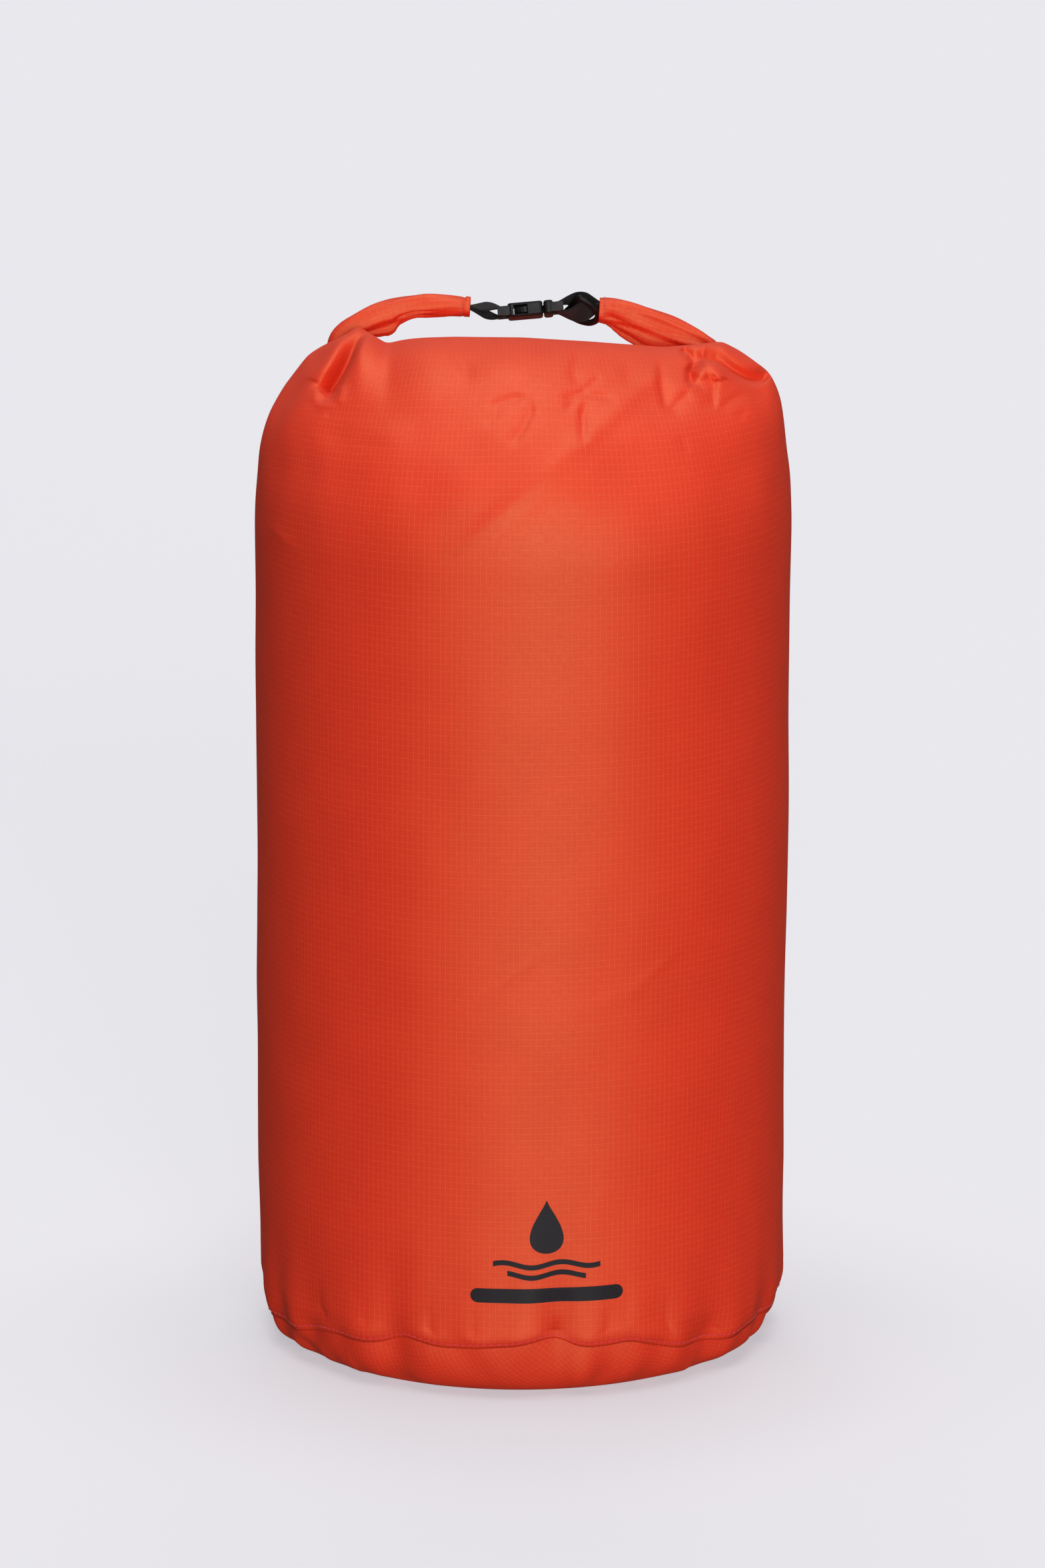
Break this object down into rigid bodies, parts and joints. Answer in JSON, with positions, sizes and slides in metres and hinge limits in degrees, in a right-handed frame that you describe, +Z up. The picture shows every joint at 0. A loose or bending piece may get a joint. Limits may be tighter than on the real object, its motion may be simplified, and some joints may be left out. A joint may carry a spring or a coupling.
{
  "type": "roll-top dry bag",
  "caption": "Full round ripstop dry bag with its stiffened mouth rolled down and the ends of the roll clipped together over the top as a carry handle.",
  "frame": {"origin": "centre of the round base on the surface it stands on", "axes": "+Z up; -Y is the front with the printed mark; +X runs along the roll, from the socket half of the buckle to the plug half"},
  "size_m": [0.3012, 0.288, 0.5978],
  "materials": {
    "ripstop": "thin coated ripstop cloth, satin, with a fine reinforcement grid",
    "seam_tape": "heat-sealed translucent tape, satin",
    "thread": "polyester sewing thread",
    "webbing": "plain-woven polyester webbing, matte",
    "buckle_plastic": "moulded acetal, satin",
    "stiffener": "flexible plastic strip"
  },
  "bodies": {
    "bag": {"body_panel": "ripstop", "base_panel": "ripstop", "base_seam_tape": "seam_tape", "back_seam_tape": "seam_tape", "base_seam_thread": "thread", "roll_middle": "ripstop", "stiffener_middle": "stiffener", "roll_bend_left": "ripstop", "roll_bend_right": "ripstop"},
    "left_end": {"roll_end_left": "ripstop", "stiffener_left": "stiffener", "webbing_left": "webbing", "bartack_left": "thread"},
    "right_end": {"roll_end_right": "ripstop", "stiffener_right": "stiffener", "webbing_right": "webbing", "bartack_right": "thread"},
    "buckle_socket": {"buckle_female": "buckle_plastic"},
    "buckle_plug": {"buckle_male_frame": "buckle_plastic"},
    "prong_front": {"buckle_prong_front": "buckle_plastic"},
    "prong_rear": {"buckle_prong_rear": "buckle_plastic"},
    "ring": {"d_ring": "buckle_plastic"}
  },
  "joints": [
    {"name": "left_end_swing", "type": "hinge", "parent": "bag", "child": "left_end", "pos_m": [-0.098, 0.03193, 0.56373], "axis": [0, -0.9613, 0.2756], "range_deg": [0, 80], "deforming": ["roll_bend_left"]},
    {"name": "right_end_swing", "type": "hinge", "parent": "bag", "child": "right_end", "pos_m": [0.1097, 0.03695, 0.58122], "axis": [0, 0.9613, -0.2756], "range_deg": [0, 80], "deforming": ["roll_bend_right"]},
    {"name": "socket_level", "type": "hinge", "parent": "left_end", "child": "buckle_socket", "pos_m": [-0.01194, 0.03834, 0.58609], "axis": [0, -0.9613, 0.2756], "range_deg": [-80, 0]},
    {"name": "plug_level", "type": "hinge", "parent": "right_end", "child": "buckle_plug", "pos_m": [0.02094, 0.03913, 0.58885], "axis": [0, 0.9613, -0.2756], "range_deg": [-80, 0]},
    {"name": "prong_front_press", "type": "hinge", "parent": "buckle_plug", "child": "prong_front", "pos_m": [0.01207, 0.03392, 0.58954], "axis": [0.0872, -0.2746, -0.9576], "range_deg": [0, 8], "stiffness_Nm_per_rad": 0.005},
    {"name": "prong_rear_press", "type": "hinge", "parent": "buckle_plug", "child": "prong_rear", "pos_m": [0.01207, 0.04392, 0.58667], "axis": [-0.0872, 0.2746, 0.9576], "range_deg": [0, 8], "stiffness_Nm_per_rad": 0.005},
    {"name": "ring_swivel", "type": "hinge", "parent": "right_end", "child": "ring", "pos_m": [0.0315, 0.03927, 0.58935], "axis": [-0.2756, 0.924, -0.265], "range_deg": [-8, 50]}
  ],
  "couplings": [
    {"joint": "right_end_swing", "follows": "left_end_swing", "ratio": 1},
    {"joint": "socket_level", "follows": "left_end_swing", "ratio": -1},
    {"joint": "plug_level", "follows": "left_end_swing", "ratio": -1}
  ]
}
